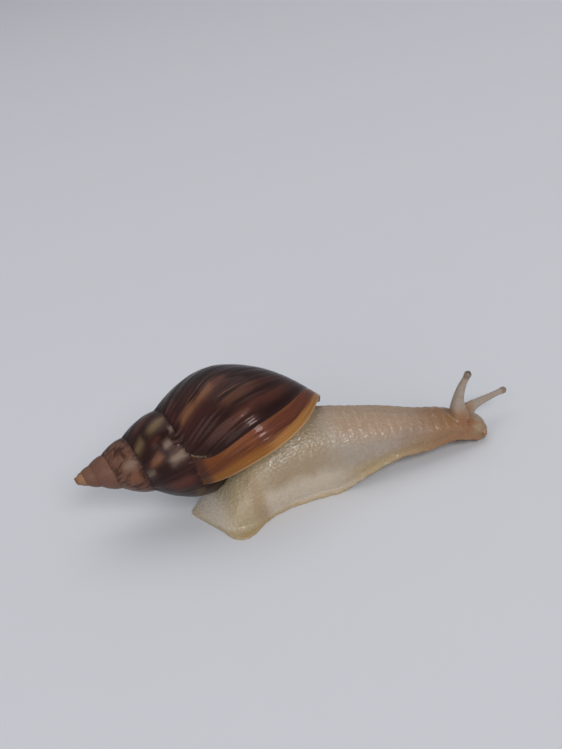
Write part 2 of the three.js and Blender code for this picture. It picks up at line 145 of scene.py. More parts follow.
def skin_over(name, points, faces, corners=None):
    """A mesh object from points in mm, sheets of faces as rows of point numbers, and UV maps by name.
    Points nearer to each other than WELD_GAP become one, at seams and poles."""
    mesh = bpy.data.meshes.new(name)
    mesh.from_pydata((points * MM).tolist(), [], [row for sheet in faces for row in sheet.tolist()])
    for label, values in (corners or {}).items():
        layer = mesh.uv_layers.new(name=label)
        layer.data.foreach_set("uv", values.astype(np.float32).ravel())
    mesh.shade_smooth()
    mesh.validate()
    piece = bpy.data.objects.new(name, mesh)
    bpy.context.scene.collection.objects.link(piece)
    piece.modifiers.new("weld", "WELD").merge_threshold = WELD_GAP
    return piece


STEPS = 480  # round one turn
SHOULDER = np.linspace(0, 1, 15)
BASE = 1 + np.sin(np.linspace(0, np.pi / 2, 34))
STEP = TURN / STEPS
ROWS = int(WHORLS * STEPS)

# The outer wall: a row of the grid for each step of growth. Only the last turn has a base.
past = (np.arange(ROWS + 1) - ROWS) * STEP
ease = np.clip(past / LIP_RAMP + 1, 0, 1)
ease = ease * ease * (3 - 2 * ease)


def wall_grid(rows, places):
    """Turn, place on the wall and growth time over a grid of growth rows and wall places."""
    s = np.broadcast_to(places, (len(rows), len(places)))
    turn = past[rows][:, None] + ease[rows][:, None] * growth_lean(s)
    return turn, s, turn - growth_lean(s)


all_rows = np.arange(ROWS + 1)
last_rows = all_rows[ROWS - STEPS:]
shoulder_turn, shoulder_s, shoulder_time = wall_grid(all_rows, SHOULDER[:-1])
base_turn, base_s, base_time = wall_grid(last_rows, BASE)

shoulder_points = on_shell(shoulder_turn, shoulder_s, relief(shoulder_time, shoulder_s))
base_points = on_shell(base_turn, base_s, relief(base_time, base_s))
count = shoulder_points.shape[0] * shoulder_points.shape[1]
shoulder_ids = np.arange(count).reshape(shoulder_points.shape[:2])
base_ids = count + np.arange(base_s.size).reshape(base_s.shape)

# A whorl's widest line is the next whorl's suture, so both use the same points there.
next_suture = np.concatenate([shoulder_ids[STEPS:, 0], base_ids[1:, 0]])
shoulder_ids = np.concatenate([shoulder_ids, next_suture[:, None]], axis=1)
base_ids[0, 0] = shoulder_ids[ROWS, 0]


def quads(ids):
    """Faces between neighbouring rows and columns of a grid of point numbers."""
    return np.stack([ids[:-1, :-1], ids[1:, :-1], ids[1:, 1:], ids[:-1, 1:]], -1).reshape(-1, 4)


def corner_map(u, v):
    """The same corners as quads gives, carrying the two grids of values u and v."""
    grid = np.stack([u, v], -1)
    return np.stack([grid[:-1, :-1], grid[1:, :-1], grid[1:, 1:], grid[:-1, 1:]], 2).reshape(-1, 4, 2)


def growth_chart(turn, s):
    """UV chart of the shell: growth time along u, from 0 at the apex to 1 at the lip, and the place on
    the wall along v."""
    return (turn - growth_lean(s)) / (TURN * (WHORLS + 0.5)) + 1, s / 2


full_s = np.broadcast_to(SHOULDER, (ROWS + 1, len(SHOULDER)))
full_turn = past[:, None] + ease[:, None] * growth_lean(full_s)

# The lip: round the edge from the outer wall to the inner, then back inside the mouth.
edge = np.linspace(0, np.pi, 7)[1:]
inward = np.linspace(0, 1, 16)[1:]
lip_s = np.concatenate([SHOULDER[:-1], BASE])
thickness = LIP_THICKNESS * np.clip(lip_s * 8, 0.35, 1) * np.clip((2 - lip_s) * 6, 0, 1)
lip_depth = np.concatenate([(1 - np.cos(edge)) / 2, 1 + 0.8 * inward])[:, None] * thickness
lip_turn = growth_lean(lip_s) + np.concatenate([
    np.sin(edge)[:, None] * LIP_THICKNESS / 2 / (LAST_SIZE * 0.6) * np.ones_like(lip_s),
    -MOUTH_DEPTH * inward[:, None] * np.ones_like(lip_s),
])
lip_grid_s = np.broadcast_to(lip_s, lip_turn.shape)
lip_points = on_shell(lip_turn, lip_grid_s, lip_depth + relief(0 * lip_turn, lip_grid_s))
rim = np.concatenate([shoulder_ids[ROWS, :-1], base_ids[-1]])
lip_start = count + base_s.size
lip_ids = np.concatenate([rim[None], lip_start + np.arange(lip_turn.size).reshape(lip_turn.shape)])

# The blunt apex: a dome over the first turn's edge, with the step between the two ends of that turn
# closed by one more strip of the dome and a fan over the wall's first row.
DOME_RINGS, DOME_HEIGHT = 6, 0.95
first_turn = shoulder_points[:STEPS + 1, 0]
centre = first_turn.mean(0)
rise = np.linspace(0, np.pi / 2, DOME_RINGS + 1)[1:, None, None]
dome_points = centre + (first_turn - centre) * np.cos(rise) - [DOME_HEIGHT, 0, 0] * np.sin(rise)
dome_start = lip_start + lip_turn.size
dome_ids = np.concatenate([
    shoulder_ids[None, :STEPS + 1, 0],
    dome_start + np.arange(DOME_RINGS * (STEPS + 1)).reshape(DOME_RINGS, STEPS + 1),
])
dome_ids = np.concatenate([dome_ids, dome_ids[:, :1]], 1)
first_row = shoulder_ids[0]
fan = np.stack([first_row[:-2], first_row[1:-1], np.full(len(first_row) - 2, first_row[-1])], -1)

# Two UV maps: the growth chart, and the lining, which is 1 inside the mouth and 0 elsewhere.
points = np.concatenate([
    grid.reshape(-1, 3) for grid in (shoulder_points, base_points, lip_points, dome_points)
])
charts = [
    corner_map(*growth_chart(full_turn, full_s)),
    corner_map(*growth_chart(base_turn, base_s)),
    corner_map(np.ones(lip_ids.shape), np.broadcast_to(lip_s, lip_ids.shape) / 2),
    corner_map(np.zeros(dome_ids.shape), np.zeros(dome_ids.shape)),
    np.zeros((len(fan), 3, 2)),
]
linings = [0 * chart for chart in charts]
inside = np.broadcast_to((np.arange(len(lip_ids)) > len(edge) // 2)[:, None] * 1.0, lip_ids.shape)
linings[2] = corner_map(inside, 0 * inside)
shell = skin_over(
    "shell_wall", points, [quads(shoulder_ids), quads(base_ids), quads(lip_ids), quads(dome_ids), fan],
    {name: np.concatenate([block.reshape(-1, 2) for block in blocks])
     for name, blocks in (("growth", charts), ("lining", linings))},
)


class Finish:
    """A material, whose nodes are added by node() and by Python's operators on their outputs."""

    def __init__(self, name, **constants):
        self.material = bpy.data.materials.new(name)
        self.material.use_nodes = True
        self.nodes = self.material.node_tree.nodes
        self.links = self.material.node_tree.links
        self.shader = self.nodes["Principled BSDF"]
        for socket, value in constants.items():
            self.shader.inputs[socket.replace("_", " ")].default_value = value

    def node(self, kind, settings=None, inputs=None, output=0):
        """Adds a node: its settings first, then the values or links of its sockets."""
        made = self.nodes.new("ShaderNode" + kind)
        for name, value in (settings or {}).items():
            setattr(made, name, value)
        for key, value in (inputs or {}).items():
            if isinstance(value, Wire):
                self.links.new(value.socket, made.inputs[key])
            else:
                made.inputs[key].default_value = value
        return Wire(self, made.outputs[output])

    def place(self):
        """Object coordinates, in metres."""
        return self.node("TexCoord", output="Object")

    def parts(self, vector, axes="XYZ"):
        """The parts of a vector along the axes."""
        return [self.node("SeparateXYZ", {}, {0: vector}, axis) for axis in axes]

    def vector(self, x, y, z=0.0):
        """A vector from its three parts."""
        return self.node("CombineXYZ", {}, {0: x, 1: y, 2: z})

    def noise(self, place, scale, detail=3.0, rough=0.55, twist=0.0):
        """Fractal noise, as a value from 0 to 1."""
        return self.node("TexNoise", {}, {
            "Vector": place, "Scale": scale, "Detail": detail, "Roughness": rough, "Distortion": twist,
        })

    def blend(self, share, base, over):
        """Mixes two colours by a share, held between 0 and 1. The Mix node's colours are its inputs 6
        and 7 and its output 2."""
        inputs = {0: share, 6: base, 7: over}
        return self.node("Mix", {"data_type": "RGBA", "clamp_factor": True}, inputs, 2)

    def wear(self, colour, roughness=None, bump=None):
        """Feeds the shader what changes over the surface."""
        for name, wire in (("Base Color", colour), ("Roughness", roughness), ("Normal", bump)):
            if wire is not None:
                self.links.new(wire.socket, self.shader.inputs[name])
        return self.material


class Wire:
    """An output of a node. Python's operators on it and its methods add Math nodes."""

    def __init__(self, finish, socket):
        self.finish, self.socket = finish, socket

    def math(self, operation, *inputs):
        """The Math node of an operation."""
        return self.finish.node("Math", {"operation": operation}, dict(enumerate(inputs)))

    def __add__(self, other):
        return self.math("ADD", self, other)

    def __radd__(self, other):
        return self.math("ADD", other, self)

    def __sub__(self, other):
        return self.math("SUBTRACT", self, other)

    def __rsub__(self, other):
        return self.math("SUBTRACT", other, self)

    def __mul__(self, other):
        return self.math("MULTIPLY", self, other)

    def __rmul__(self, other):
        return self.math("MULTIPLY", other, self)

    def __abs__(self):
        return self.math("ABSOLUTE", self)

    def at_least(self, limit):
        """The larger of it and the limit."""
        return self.math("MAXIMUM", self, limit)

    def exp(self):
        """e to the power of it."""
        return self.math("EXPONENT", self)

    def step(self, low, high):
        """0 below low and 1 above high, with a smooth climb between; high may be below low."""
        return self.finish.node(
            "MapRange", {"interpolation_type": "SMOOTHERSTEP"},
            {"Value": self, "From Min": low, "From Max": high},
        )

    def bell(self, middle, width):
        """1 at the middle, falling to 0 at width on either side."""
        return abs(self - middle).step(width, 0.0)


# The lacquer: growth time in degrees back from the lip and the place on the wall, from the chart.
look = Finish(
    "shell_lacquer", Coat_Weight=0.15, Coat_Roughness=0.07, Specular_IOR_Level=0.24,
    Specular_Tint=(1.0, 0.55, 0.45, 1),
)
chart_u, chart_v = look.parts(look.node("UVMap", {"uv_map": "growth"}), "XY")
time, wall = (chart_u - 1.0) * (360.0 * (WHORLS + 0.5)), chart_v * 2.0

# Growth lines are never ruled: a slow noise makes them waver.
sway = look.noise(look.vector(time * 0.03, wall * 2.2), 1.0, 2.0) - 0.5
waver = time + sway * 7.0
broad = look.noise(look.vector(waver * 0.07, wall * 0.9, 3.0), 1.0, 2.0)
fine = look.noise(look.vector(waver * 0.26, wall * 1.6, 7.0), 1.0, 3.0)
threads = look.noise(look.vector(waver * 1.5, wall * 1.5, 11.0), 1.0, 2.0)
since_rest = time - REST_LINE + (wall * (-1 / REST_REACH)).exp() * REST_SWEEP

NIGHT = (0.010, 0.0035, 0.0035, 1)
UMBER = (0.027, 0.010, 0.009, 1)
MAROON = (0.052, 0.016, 0.013, 1)
RUSSET = (0.085, 0.027, 0.018, 1)
OCHRE = (0.170, 0.072, 0.036, 1)
AMBER = (0.310, 0.140, 0.040, 1)
KHAKI = (0.140, 0.095, 0.048, 1)
CREAM = (0.215, 0.155, 0.115, 1)
BUFF = (0.150, 0.074, 0.051, 1)
DUN = (0.110, 0.050, 0.034, 1)
WALNUT = (0.044, 0.019, 0.013, 1)
CHESTNUT = (0.122, 0.056, 0.035, 1)
APEX_TAN = (0.300, 0.160, 0.085, 1)
PITCH = (0.004, 0.002, 0.002, 1)
THREAD = (0.020, 0.010, 0.008, 1)

# The last whorl is nearly black, clouded with maroon. The whorl before is darker still between its
# pale patches, the next is brown and mottled, and the first ones are a dull buff.
last = look.blend((broad * 0.6 + fine * 0.4).step(0.36, 0.64), NIGHT, UMBER)
last = look.blend((fine * 0.7 + broad * 0.3).step(0.52, 0.68) * 0.5, last, MAROON)
spire = look.blend((broad * 0.5 + fine * 0.5).step(0.40, 0.62), NIGHT, UMBER)
mottle = look.noise(look.vector(waver * 0.06, wall * 2.6, 5.0), 1.0, 3.0, 0.6, 0.8)
brown = look.blend(mottle.step(0.36, 0.60), WALNUT, CHESTNUT)
brown = look.blend((fine * 0.6 + mottle * 0.4).step(0.46, 0.68) * 0.5, brown, BUFF)
brown = look.blend((wall + (fine - 0.5) * 0.7).step(0.72, 1.05) * 0.75, brown, UMBER)
spire = look.blend(time.step(-500.0, -590.0), spire, brown)
dull_buff = look.blend(fine.step(0.35, 0.65) * 0.6, BUFF, DUN)
spire = look.blend(time.step(-900.0, -1080.0), spire, dull_buff)
spire = look.blend(time.step(-1380.0, -1880.0) * 0.7, spire, APEX_TAN)
colour = look.blend(time.step(-300.0, -215.0), spire, last)

# Flames: where each lies in growth time and its half width, from where to where on the wall it runs,
# its colour and how strongly it shows. It fades as e to minus 1.4 (t squared + v to the fourth), where t
# and v run from 0 in its middle to 1 at its edges.
for middle, width, top, bottom, flame, share in (
    (-27.0, 7.0, 0.05, 1.90, NIGHT, 0.95),
    (-36.0, 6.0, 0.35, 1.75, RUSSET, 0.65),
    (-44.5, 4.5, 0.10, 1.80, NIGHT, 0.80),
    (-50.5, 4.5, 0.72, 1.30, OCHRE, 0.45),
    (-50.5, 5.0, 0.90, 1.75, MAROON, 0.60),
    (-66.0, 6.0, 0.00, 0.75, MAROON, 0.80),
    (-72.5, 6.0, 0.10, 0.46, OCHRE, 0.95),
    (-70.0, 5.0, 0.40, 0.84, OCHRE, 0.90),
    (-70.5, 5.0, 0.78, 1.02, RUSSET, 0.80),
    (-87.0, 5.0, 0.00, 0.18, MAROON, 0.80),
    (-102.0, 6.0, 0.02, 0.24, RUSSET, 0.60),
    (-319.0, 6.5, 0.78, 1.00, KHAKI, 0.50),
    (-344.0, 10.0, 0.34, 0.96, RUSSET, 0.85),
    (-382.0, 7.5, 0.00, 0.22, CREAM, 0.50),
    (-377.5, 7.5, 0.55, 1.00, CREAM, 0.90),
    (-392.0, 7.5, 0.20, 0.52, OCHRE, 0.85),
    (-397.0, 6.0, 0.60, 0.82, CREAM, 0.70),
    (-409.5, 4.5, 0.84, 1.00, CREAM, 0.60),
    (-411.5, 6.0, 0.34, 0.62, RUSSET, 0.50),
    (-430.0, 10.0, 0.00, 0.32, KHAKI, 0.80),
    (-430.0, 9.5, 0.42, 0.98, KHAKI, 0.95),
    (-457.0, 8.0, 0.20, 0.80, RUSSET, 0.70),
    (-719.0, 14.0, 0.40, 0.84, OCHRE, 0.60),
    (-747.0, 12.0, 0.42, 0.96, CREAM, 0.50),
    (-777.0, 10.0, 0.15, 0.50, BUFF, 0.60),
):
    across = (waver - middle + (fine - 0.5) * 6.0) * (1 / width)
    down = (wall + (broad - 0.5) * 0.25 - (top + bottom) / 2) * (2 / (bottom - top))
    patch = ((across * across + down * down * down * down) * -1.4).exp() * (0.75 + threads * 0.5)
    colour = look.blend(patch * share, colour, flame)
# Scars: short dark lines where growth paused, each with a pale edge.
for scar, top, bottom in ((-78.5, 0.35, 0.95), (-55.0, 0.75, 1.05), (-97.0, 0.3, 1.2), (-131.0, 0.4, 1.3)):
    reach = wall.step(top - 0.1, top + 0.1) * wall.step(bottom + 0.1, bottom - 0.1)
    colour = look.blend(waver.bell(scar, 1.9) * reach, colour, PITCH)
    colour = look.blend(waver.bell(scar - 2.4, 1.2) * reach * threads.step(0.35, 0.55) * 0.7, colour, OCHRE)

# This season's growth: thin, rust-brown over most of its width and amber at the lip, with a dark line
# between, ragged pale scales where the rest line runs into the suture, and a painted highlight as a pale
# rim along the lip's edge.
RUST = (0.150, 0.043, 0.010, 1)
RED_RUST = (0.098, 0.027, 0.016, 1)
GINGER = (0.200, 0.080, 0.022, 1)
HONEY = (0.220, 0.085, 0.016, 1)
OXBLOOD = (0.070, 0.017, 0.008, 1)
LIP_SHADE = (0.045, 0.014, 0.009, 1)
LIP_HIGHLIGHT = (0.45, 0.30, 0.15, 1)
REST_BLACK = (0.008, 0.004, 0.004, 1)
SCALE = (0.27, 0.19, 0.12, 1)

fresh = look.blend(wall.step(0.75, 1.05), RUST, RED_RUST)
fresh = look.blend((broad * 0.5 + fine * 0.5).step(0.45, 0.62) * 0.4, fresh, GINGER)
lip_amber = look.blend(wall.step(0.9, 1.2), HONEY, AMBER)
core = (time + (fine - 0.5) * 6.0).bell(-13.5, 5.5) * (wall + (broad - 0.5) * 0.4).step(0.9, 0.7)
fresh = look.blend(core * 0.65, fresh, OXBLOOD)
fresh = look.blend((time + (fine - 0.5) * 5.0).step(-10.0, -5.5), fresh, lip_amber)
fresh = look.blend(waver.bell(-10.2, 1.3) * wall.step(0.5, 0.8) * 0.55, fresh, LIP_SHADE)
fresh = look.blend((wall + (fine - 0.5) * 0.15).step(0.22, 0.06) * 0.75, fresh, UMBER)
fresh = look.blend(threads.step(0.40, 0.75) * 0.30, fresh, RUSSET)
# Painted highlight: a pale rim along the lip's rounded edge, where the light catches it.
fresh = look.blend(time.step(-1.6, -0.4) * 0.5, fresh, LIP_HIGHLIGHT)
colour = look.blend(since_rest.step(-0.6, 0.6), colour, fresh)
colour = look.blend(since_rest.bell(-0.5, 1.3) * 0.8, colour, REST_BLACK)
scales = look.noise(look.vector(time * 0.22, wall * 9.0, 2.0), 1.0, 3.0, 0.6).step(0.44, 0.60)
scales = scales * since_rest.bell(-1.8, 2.6) * wall.step(0.30, 0.16)
colour = look.blend(scales * 0.55, colour, SCALE)

# A dark line under each suture, fine threads all over, painted shade on the base, and the pale lining of
# the mouth.
LINING = (0.42, 0.36, 0.30, 1)
suture_line = wall.step(0.06, 0.0) * time.step(-20.0, -30.0)
colour = look.blend(suture_line * (0.7 - time.step(-500.0, -700.0) * 0.4), colour, NIGHT)
colour = look.blend(threads.step(0.45, 0.8) * 0.2, colour, THREAD)
# Painted shade: the base behind the mouth, which faces down into the shadow under the shell, is darkened to
# near black.
colour = look.blend(wall.step(1.2, 1.6) * time.step(-110.0, -200.0), colour, NIGHT)
lining = look.parts(look.node("UVMap", {"uv_map": "lining"}), "X")[0]
colour = look.blend(lining.step(0.3, 0.7), colour, LINING)

dull = look.noise(look.vector(waver * 0.3, wall * 4.0, 2.0), 1.0, 3.0, 0.6)
gloss = 0.22 + dull * 0.18 + time.step(-500.0, -1000.0) * 0.2
ridges = threads * 0.7 + fine * 0.5 + look.noise(look.vector(waver * 5.5, wall * 2.0, 4.0), 1.0, 1.0) * 0.35
bump = look.node("Bump", {}, {"Strength": 0.3, "Distance": 0.1 * MM, "Height": ridges})
shell.data.materials.append(look.wear(colour, gloss, bump))

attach(shell, "root")
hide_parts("shell")


# ---------------------------------------------------------------- the soft body
# One wet, pebbled skin from the tail to the snout and out along the four tentacles. Its sections are
# carried along the snail through the same places as the solids', a little inside them, and fused
# with the tentacles and with the mantle, which fills the shell's mouth. The foot's edge is thin.

# Along the snail: the foot's right and left edges, the sole's and the back's heights, the half width
# and its middle, the level of the widest line and the width at the sole as a share of the widest.
STATIONS = {
    "x": [-18.8, -16.8, -14.2, -11.2, -7.2, -2.0, 5.0, 16.5, 23.5, 32.0, 41.0, 47.0, 52.0, 55.6, 57.5],
    "near": [4.0, -0.7, -6.6, -13.1, -13.2, -8.8, -6.7, -7.0, -7.2, -6.7, -6.2, -5.5, -4.8, -3.5, -1.3],
    "far": [4.8, 7.5, 10.4, 12.4, 12.2, 10.6, 9.2, 8.0, 7.5, 6.9, 6.3, 5.6, 4.8, 3.5, 1.3],
    "lift": [0, 0, 0, 0, 0, 0, 0, 0, 2.3, 4.1, 3.5, 3.7, 1.9, 0.6, 1.6],
    "top": [0.8, 1.7, 4.4, 8.1, 13.0, 18.0, 20.6, 19.9, 18.0, 15.3, 11.8, 10.0, 7.6, 6.0, 3.6],
    "girth": [1.0, 4.3, 8.0, 10.4, 11.0, 10.8, 10.4, 8.8, 8.0, 7.1, 6.3, 5.7, 5.0, 3.9, 1.5],
    "middle": [4.4, 3.4, 1.8, 0.1, 0.1, 0.5, 1.0, 0.5, 0.15, 0.1, 0.05, 0.05, 0, 0, 0],
    "widest": [0.2, 0.2, 0.2, 0.22, 0.3, 0.42, 0.52, 0.55, 0.55, 0.55, 0.55, 0.55, 0.55, 0.55, 0.55],
    "waist": [0.97, 0.97, 0.97, 0.96, 0.92, 0.87, 0.84, 0.84, 0.84, 0.84, 0.84, 0.84, 0.84, 0.84, 0.84],
}
NECK_BASE = 16.5  # in front of which the sole is lifted off the floor
EDGE_HEIGHT = 1.1
EDGE_WAVE = 0.13
SKIN_DEPTH = 0.12  # how far the skin lies inside the measures, which leaves room for its pebbles


def through(name, x):
    """A smooth curve through one of the body's measures: cubic pieces between the stations, each with
    the slope from its neighbour on one side to its neighbour on the other."""
    at, values = np.array(STATIONS["x"]), np.array(STATIONS[name], float)
    k = np.clip(np.searchsorted(at, x, side="right") - 1, 0, len(at) - 2)
    before, after = np.maximum(k - 1, 0), np.minimum(k + 2, len(at) - 1)
    span = at[k + 1] - at[k]
    t = (x - at[k]) / span
    slope_a = (values[k + 1] - values[before]) / (at[k + 1] - at[before]) * span
    slope_b = (values[after] - values[k]) / (at[after] - at[k]) * span
    return (
        values[k] * (1 + 2 * t) * (1 - t) ** 2 + slope_a * t * (1 - t) ** 2
        + values[k + 1] * (3 - 2 * t) * t ** 2 + slope_b * (t - 1) * t ** 2
    )


def sole_height(x):
    """Height of the sole: the stations' lift in front of the neck's base, and 0 behind it."""
    return np.where(x > NECK_BASE, np.maximum(through("lift", np.maximum(x, NECK_BASE)), 0), 0)


def body_side(x, level, side):
    """Points of one side of the body: at each x, level runs from 0 at the sole's edge to 1 at the
    middle of the back. The half width swells as a parabola to the widest level, rounds over above it
    as an ellipse, and spreads at the bottom into the foot's thin, slightly wavy edge as e to minus the
    square of the height over EDGE_HEIGHT."""
    near, far, girth = through("near", x), through("far", x), through("girth", x)
    lift = sole_height(x)
    height = through("top", x) - lift
    sole = (far - near) / 2
    waist = np.minimum(sole, girth) * through("waist", x)
    widest = through("widest", x)
    over = np.clip((level - widest) / (1 - widest), 0, 1)
    under = np.clip(level / widest, 0, 1)
    rounded, swelling = girth * np.sqrt(1 - over ** 2), waist + (girth - waist) * (1 - (1 - under) ** 2)
    flesh = np.where(level > widest, rounded, swelling)
    wave = EDGE_WAVE * (np.sin(1.3 * x + side + 1.4 * np.sin(0.5 * x)) + 0.3 * np.sin(4.3 * x) - 1.0)
    spread = np.exp(-((level * height / EDGE_HEIGHT) ** 2))
    width = np.maximum(flesh + (sole - waist + wave) * spread - SKIN_DEPTH, 0)
    centre = through("middle", x) * (1 - spread) + (near + far) / 2 * spread
    return np.stack([x + 0 * level, centre + side * width, lift + level * height], -1)


def closed(grid):
    """A closed skin over a grid of rings, joined round each ring and fanned at each end: its points,
    and its faces as two arrays."""
    rows, around = grid.shape[:2]
    ids = np.arange(rows * around).reshape(rows, around)
    ids = np.concatenate([ids, ids[:, :1]], 1)
    ends = rows * around + np.array([0, 1])
    fans = np.concatenate([
        np.stack([ids[0, :-1], ids[0, 1:], np.full(around, ends[0])], -1),
        np.stack([ids[-1, 1:], ids[-1, :-1], np.full(around, ends[1])], -1),
    ])
    return np.concatenate([grid.reshape(-1, 3), grid[[0, -1]].mean(1)]), [quads(ids)[:, ::-1], fans]


reach = np.linspace(STATIONS["x"][0] + SKIN_DEPTH, STATIONS["x"][-1] - SKIN_DEPTH, 300)[:, None]
climb = np.sin(np.linspace(0, np.pi / 2, 60))[None] ** 1.3
right_side, left_side = body_side(reach, climb, -1), body_side(reach, climb[:, -2::-1], 1)
across = np.linspace(0, 1, 22)[None, 1:-1, None]
sole = left_side[:, -1:] * (1 - across) + right_side[:, :1] * across
trunk = np.concatenate([right_side, left_side, sole], 1)


def tube(path, radii, sides=32, steps=70):
    """A round stalk as a grid of rings. Its middle follows the Catmull-Rom curve through the path's
    points, its radius runs straight from each of the radii to the next, and its end is drawn in as a
    dome half as high as a ball's."""
    knots = np.array(path, float)
    t = np.linspace(0, len(knots) - 1, steps)
    k = np.minimum(t.astype(int), len(knots) - 2)
    padded = np.concatenate([2 * knots[:1] - knots[1:2], knots, 2 * knots[-1:] - knots[-2:-1]])
    a, b, c, d = (padded[k + n] for n in range(4))
    u = (t - k)[:, None]
    centre = 0.5 * (2 * b + (c - a) * u + (2 * a - 5 * b + 4 * c - d) * u ** 2
                    + (3 * b - a - 3 * c + d) * u ** 3)
    radius = np.interp(np.linspace(0, 1, steps), np.linspace(0, 1, len(radii)), radii)
    heading = np.gradient(centre, axis=0)
    heading /= np.linalg.norm(heading, axis=1, keepdims=True)
    dome = np.linspace(0, np.pi / 2, 7)[1:-1]
    centre = np.concatenate([centre, centre[-1] + heading[-1] * radius[-1] * 0.5 * np.sin(dome)[:, None]])
    heading = np.concatenate([heading, np.repeat(heading[-1:], len(dome), 0)])
    radius = np.concatenate([radius, radius[-1] * np.cos(dome)])
    side = np.cross([0, 1.0, 0], heading)
    side /= np.linalg.norm(side, axis=1, keepdims=True)
    other = np.cross(heading, side)
    angle = np.linspace(0, TURN, sides, endpoint=False)
    ring = np.cos(angle)[None, :, None] * side[:, None] + np.sin(angle)[None, :, None] * other[:, None]
    return centre[:, None] + ring * radius[:, None, None]


def unit_ball(tilts, angles):
    """A ball of radius 1 as a grid: a ring at each angle from the pole, a column at each angle round
    it."""
    tilt, angle = np.meshgrid(tilts, angles, indexing="ij")
    return np.stack([np.sin(tilt) * np.cos(angle), np.sin(tilt) * np.sin(angle), np.cos(tilt)], -1)


# The mantle, from deep in the mouth forwards: each ring lies so many degrees past the lip and so many
# mm inside the wall. Its rim stops short of the lip, and inside that it swells out to meet the body.
MANTLE = np.array([
    [-12.5, 1.3], [-6.0, 1.3], [-3.6, 1.35], [-3.1, 1.8], [-2.4, 2.8], [-0.5, 3.7], [4.0, 4.0], [8.0, 4.6],
])
angle_past, inset = np.radians(MANTLE[:, :1]), MANTLE[:, 1:]
mouth_s = np.concatenate([SHOULDER[1:-1:2], BASE[::2]]) + 0 * angle_past
rim_ring = on_shell(growth_lean(mouth_s) + angle_past, mouth_s, inset)
along_axis = ((rim_ring - APEX) @ SHELL_TURN.T) * [1, 0, 0]
mantle = np.concatenate([rim_ring, (along_axis @ SHELL_TURN + APEX)[:, ::-1]], 1)

TENTACLES = {  # the path of each stalk, and its radius from root to tip
    "eye_right": ([[50.2, -1.9, 7.4], [50.1, -2.5, 12.0], [51.1, -3.6, 16.4], [52.9, -4.8, 20.3]],
                  [2.8, 2.5, 2.15, 1.8, 1.52, 1.33, 1.18, 1.05, 0.90, 0.82, 0.98]),
    "eye_left": ([[51.6, 1.4, 6.4], [55.9, 2.6, 7.4], [60.8, 4.4, 7.3], [66.1, 6.4, 6.9]],
                 [2.4, 2.05, 1.75, 1.45, 1.2, 1.05, 0.95, 0.88, 0.80, 0.80, 0.95]),
    "lower_right": ([[54.0, -2.0, 3.2], [55.0, -3.1, 3.0], [55.8, -4.2, 2.7]], [1.3, 0.9, 0.76, 0.8]),
    "lower_left": ([[54.0, 2.0, 3.2], [55.0, 3.1, 3.0], [55.6, 4.2, 2.7]], [1.3, 0.9, 0.76, 0.8]),
}
bead = unit_ball(np.linspace(0.05, np.pi - 0.05, 24), np.linspace(0, TURN, 32, endpoint=False))
lips = [bead * [1.1, 1.15, 1.25] + [55.95, side * 1.15, 2.15] for side in (-1, 1)]

# All the parts are fused into one skin, as cubes of VOXEL that are then smoothed.
VOXEL = 0.27 * MM
corners, faces = [], []
for grid in [trunk, mantle, *lips, *(tube(*stalk) for stalk in TENTACLES.values())]:
    block, sheets = closed(grid)
    faces += [row for sheet in sheets for row in (sheet + sum(map(len, corners))).tolist()]
    corners.append(block)
mesh = bpy.data.meshes.new("parts")
mesh.from_pydata((np.concatenate(corners) * MM).tolist(), [], faces)
parts = bpy.data.objects.new("parts", mesh)
bpy.context.scene.collection.objects.link(parts)
fuse = parts.modifiers.new("fuse", "REMESH")
fuse.mode, fuse.voxel_size, fuse.use_smooth_shade = "VOXEL", VOXEL, True
settle = parts.modifiers.new("settle", "SMOOTH")
settle.factor, settle.iterations = 0.5, 5
skin_mesh = bpy.data.meshes.new_from_object(parts.evaluated_get(bpy.context.evaluated_depsgraph_get()))
bpy.data.objects.remove(parts)


def read(vertices, name):
    """A vector of each of a mesh's points, by its name."""
    values = np.empty(len(vertices) * 3, np.float32)
    vertices.foreach_get(name, values)
    return values.reshape(-1, 3).astype(float)


JUMBLE = [[127.1, 269.5, 113.5], [311.7, 183.3, 271.9], [74.7, 246.1, 124.6]]


def pebbled(places, cell):
    """Height of rounded pebbles, from 0 in the grooves to 1 on top. Each pebble grows round one of the
    points of a grid of cells, which sines of the cell's number have shifted about: with F1 and F2 the
    distances to the nearest two points, in cells, and t = 2 (F2 - F1) held below 1, the height is
    1 - (1 - t) squared."""
    p = places / cell
    nearest, second = np.full(len(p), 9.0), np.full(len(p), 9.0)
    for shift in np.ndindex(3, 3, 3):
        corner = np.floor(p) + shift - 1
        mixed = 4375.85 * np.sin(corner @ JUMBLE)
        away = np.linalg.norm(p - corner - 0.5 - 0.8 * (mixed - np.floor(mixed) - 0.5), axis=1)
        second = np.minimum(second, np.maximum(nearest, away))
        nearest = np.minimum(nearest, away)
    t = np.clip((second - nearest) * 2, 0, 1)
    return 1 - (1 - t) ** 2


def bump_at(value, middle, width):
    """A bell of height 1: e to minus the square of the distance from the middle, in widths."""
    return np.exp(-(((value - middle) / width) ** 2))


def slope(value, low, high):
    """0 below low and 1 above high, between which it climbs as 3 t squared less 2 t cubed."""
    t = np.clip((value - low) / (high - low), 0, 1)
    return t * t * (3 - 2 * t)


# Pebbles all over, closer and lower on the head, and faint on the tentacles and by the sole.
PEBBLE_HEIGHT = 0.12
spots = read(skin_mesh.vertices, "co") / MM
facing = read(skin_mesh.vertices, "normal")
x, y, z = spots.T
on_body = np.clip(x, -18, 57)
middle = (through("near", on_body) + through("far", on_body)) / 2
above_sole = z - sole_height(on_body)
on_head = slope(x, 42, 50)
on_stalk = np.maximum(slope(z, 10.5, 12) * slope(x, 46, 48), slope(x, 57.6, 58.6))
coarse, close = pebbled(spots, [1.25, 0.9, 0.9]), pebbled(spots + 40, [0.75, 0.62, 0.62])
pebble = coarse * (1 - on_head) + close * on_head
height = PEBBLE_HEIGHT * (1 - 0.45 * on_head) * (1 - 0.8 * on_stalk) * slope(above_sole, 0.3, 1.6)
raised = (pebble - 0.7) * height

